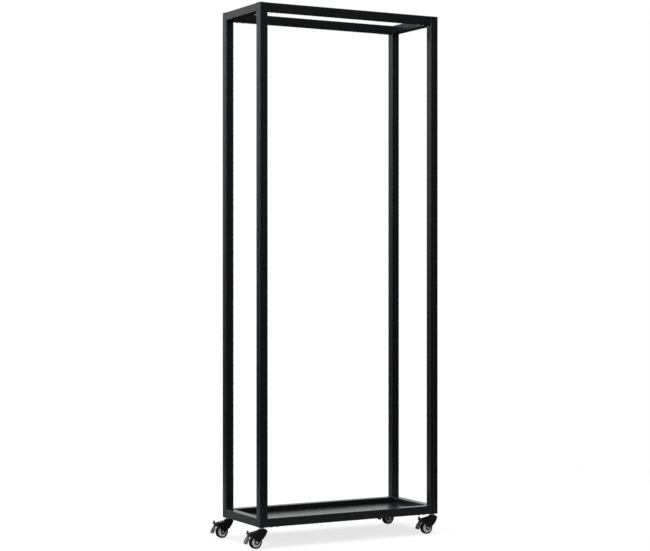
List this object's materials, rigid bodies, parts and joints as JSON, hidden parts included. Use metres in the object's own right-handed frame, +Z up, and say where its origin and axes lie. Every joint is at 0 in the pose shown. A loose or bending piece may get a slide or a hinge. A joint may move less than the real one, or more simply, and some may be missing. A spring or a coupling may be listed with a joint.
{
  "type": "firewood rack",
  "caption": "Tall open rack of black square steel tube for stacking split logs, with a recessed base tray, on swivel casters with pedal brakes.",
  "frame": {"origin": "on the floor, under the middle of the frame's footprint", "axes": "+X along the rack's width to the right as seen from the front, +Y from the front to the back, +Z up"},
  "size_m": [0.6468, 0.252, 1.56],
  "materials": {
    "powder_coat": "fine satin powder coat",
    "black_plastic": "matt",
    "zinc": "bright zinc plate",
    "bright_steel": "turned and plated",
    "caster_black": "semi-gloss stove enamel",
    "tyre_black": "smooth moulded",
    "hub_grey": "glossy moulded",
    "pedal_black": "semi-matt moulded"
  },
  "bodies": {
    "rack": {"front_left_post": "powder_coat", "rear_left_post": "powder_coat", "front_right_post": "powder_coat", "rear_right_post": "powder_coat", "left_top_side_rail": "powder_coat", "left_bottom_side_rail": "powder_coat", "right_top_side_rail": "powder_coat", "right_bottom_side_rail": "powder_coat", "front_top_rail": "powder_coat", "front_bottom_rail": "powder_coat", "rear_top_rail": "powder_coat", "rear_bottom_rail": "powder_coat", "rail_spigots": "powder_coat", "top_rail_screws": "zinc", "bottom_rail_screws": "zinc", "post_caps": "black_plastic", "caster_sockets": "zinc", "base_tray": "powder_coat", "tray_cleats": "powder_coat", "tray_screws": "zinc", "front_left_stem": "zinc", "front_left_race_cup": "caster_black", "rear_left_stem": "zinc", "rear_left_race_cup": "caster_black", "front_right_stem": "zinc", "front_right_race_cup": "caster_black", "rear_right_stem": "zinc", "rear_right_race_cup": "caster_black"},
    "front_left_swivel": {"front_left_fork": "caster_black", "front_left_axle": "bright_steel", "front_left_brake_pin": "caster_black"},
    "front_left_wheel": {"front_left_tyre": "tyre_black", "front_left_wheel_hub": "hub_grey"},
    "front_left_brake": {"front_left_brake_lever": "pedal_black"},
    "rear_left_swivel": {"rear_left_fork": "caster_black", "rear_left_axle": "bright_steel", "rear_left_brake_pin": "caster_black"},
    "rear_left_wheel": {"rear_left_tyre": "tyre_black", "rear_left_wheel_hub": "hub_grey"},
    "rear_left_brake": {"rear_left_brake_lever": "pedal_black"},
    "front_right_swivel": {"front_right_fork": "caster_black", "front_right_axle": "bright_steel", "front_right_brake_pin": "caster_black"},
    "front_right_wheel": {"front_right_tyre": "tyre_black", "front_right_wheel_hub": "hub_grey"},
    "front_right_brake": {"front_right_brake_lever": "pedal_black"},
    "rear_right_swivel": {"rear_right_fork": "caster_black", "rear_right_axle": "bright_steel", "rear_right_brake_pin": "caster_black"},
    "rear_right_wheel": {"rear_right_tyre": "tyre_black", "rear_right_wheel_hub": "hub_grey"},
    "rear_right_brake": {"rear_right_brake_lever": "pedal_black"}
  },
  "joints": [
    {"name": "front_left_swivel_turn", "type": "hinge", "parent": "rack", "child": "front_left_swivel", "pos_m": [-0.2875, -0.1125, 0.05], "axis": [0, 0, 1], "continuous": true},
    {"name": "front_left_wheel_roll", "type": "hinge", "parent": "front_left_swivel", "child": "front_left_wheel", "pos_m": [-0.3085, -0.1125, 0.019], "axis": [0, 1, 0], "continuous": true},
    {"name": "front_left_brake_release", "type": "hinge", "parent": "front_left_swivel", "child": "front_left_brake", "pos_m": [-0.3245, -0.1125, 0.04294], "axis": [0, 1, 0], "range_deg": [0, 28]},
    {"name": "rear_left_swivel_turn", "type": "hinge", "parent": "rack", "child": "rear_left_swivel", "pos_m": [-0.2875, 0.1125, 0.05], "axis": [0, 0, 1], "continuous": true},
    {"name": "rear_left_wheel_roll", "type": "hinge", "parent": "rear_left_swivel", "child": "rear_left_wheel", "pos_m": [-0.3085, 0.1125, 0.019], "axis": [0, 1, 0], "continuous": true},
    {"name": "rear_left_brake_release", "type": "hinge", "parent": "rear_left_swivel", "child": "rear_left_brake", "pos_m": [-0.3245, 0.1125, 0.04294], "axis": [0, 1, 0], "range_deg": [0, 28]},
    {"name": "front_right_swivel_turn", "type": "hinge", "parent": "rack", "child": "front_right_swivel", "pos_m": [0.2875, -0.1125, 0.05], "axis": [0, 0, 1], "continuous": true},
    {"name": "front_right_wheel_roll", "type": "hinge", "parent": "front_right_swivel", "child": "front_right_wheel", "pos_m": [0.2665, -0.1125, 0.019], "axis": [0, 1, 0], "continuous": true},
    {"name": "front_right_brake_release", "type": "hinge", "parent": "front_right_swivel", "child": "front_right_brake", "pos_m": [0.2505, -0.1125, 0.04294], "axis": [0, 1, 0], "range_deg": [0, 28]},
    {"name": "rear_right_swivel_turn", "type": "hinge", "parent": "rack", "child": "rear_right_swivel", "pos_m": [0.2875, 0.1125, 0.05], "axis": [0, 0, 1], "continuous": true},
    {"name": "rear_right_wheel_roll", "type": "hinge", "parent": "rear_right_swivel", "child": "rear_right_wheel", "pos_m": [0.2665, 0.1125, 0.019], "axis": [0, 1, 0], "continuous": true},
    {"name": "rear_right_brake_release", "type": "hinge", "parent": "rear_right_swivel", "child": "rear_right_brake", "pos_m": [0.2505, 0.1125, 0.04294], "axis": [0, 1, 0], "range_deg": [0, 28]}
  ]
}
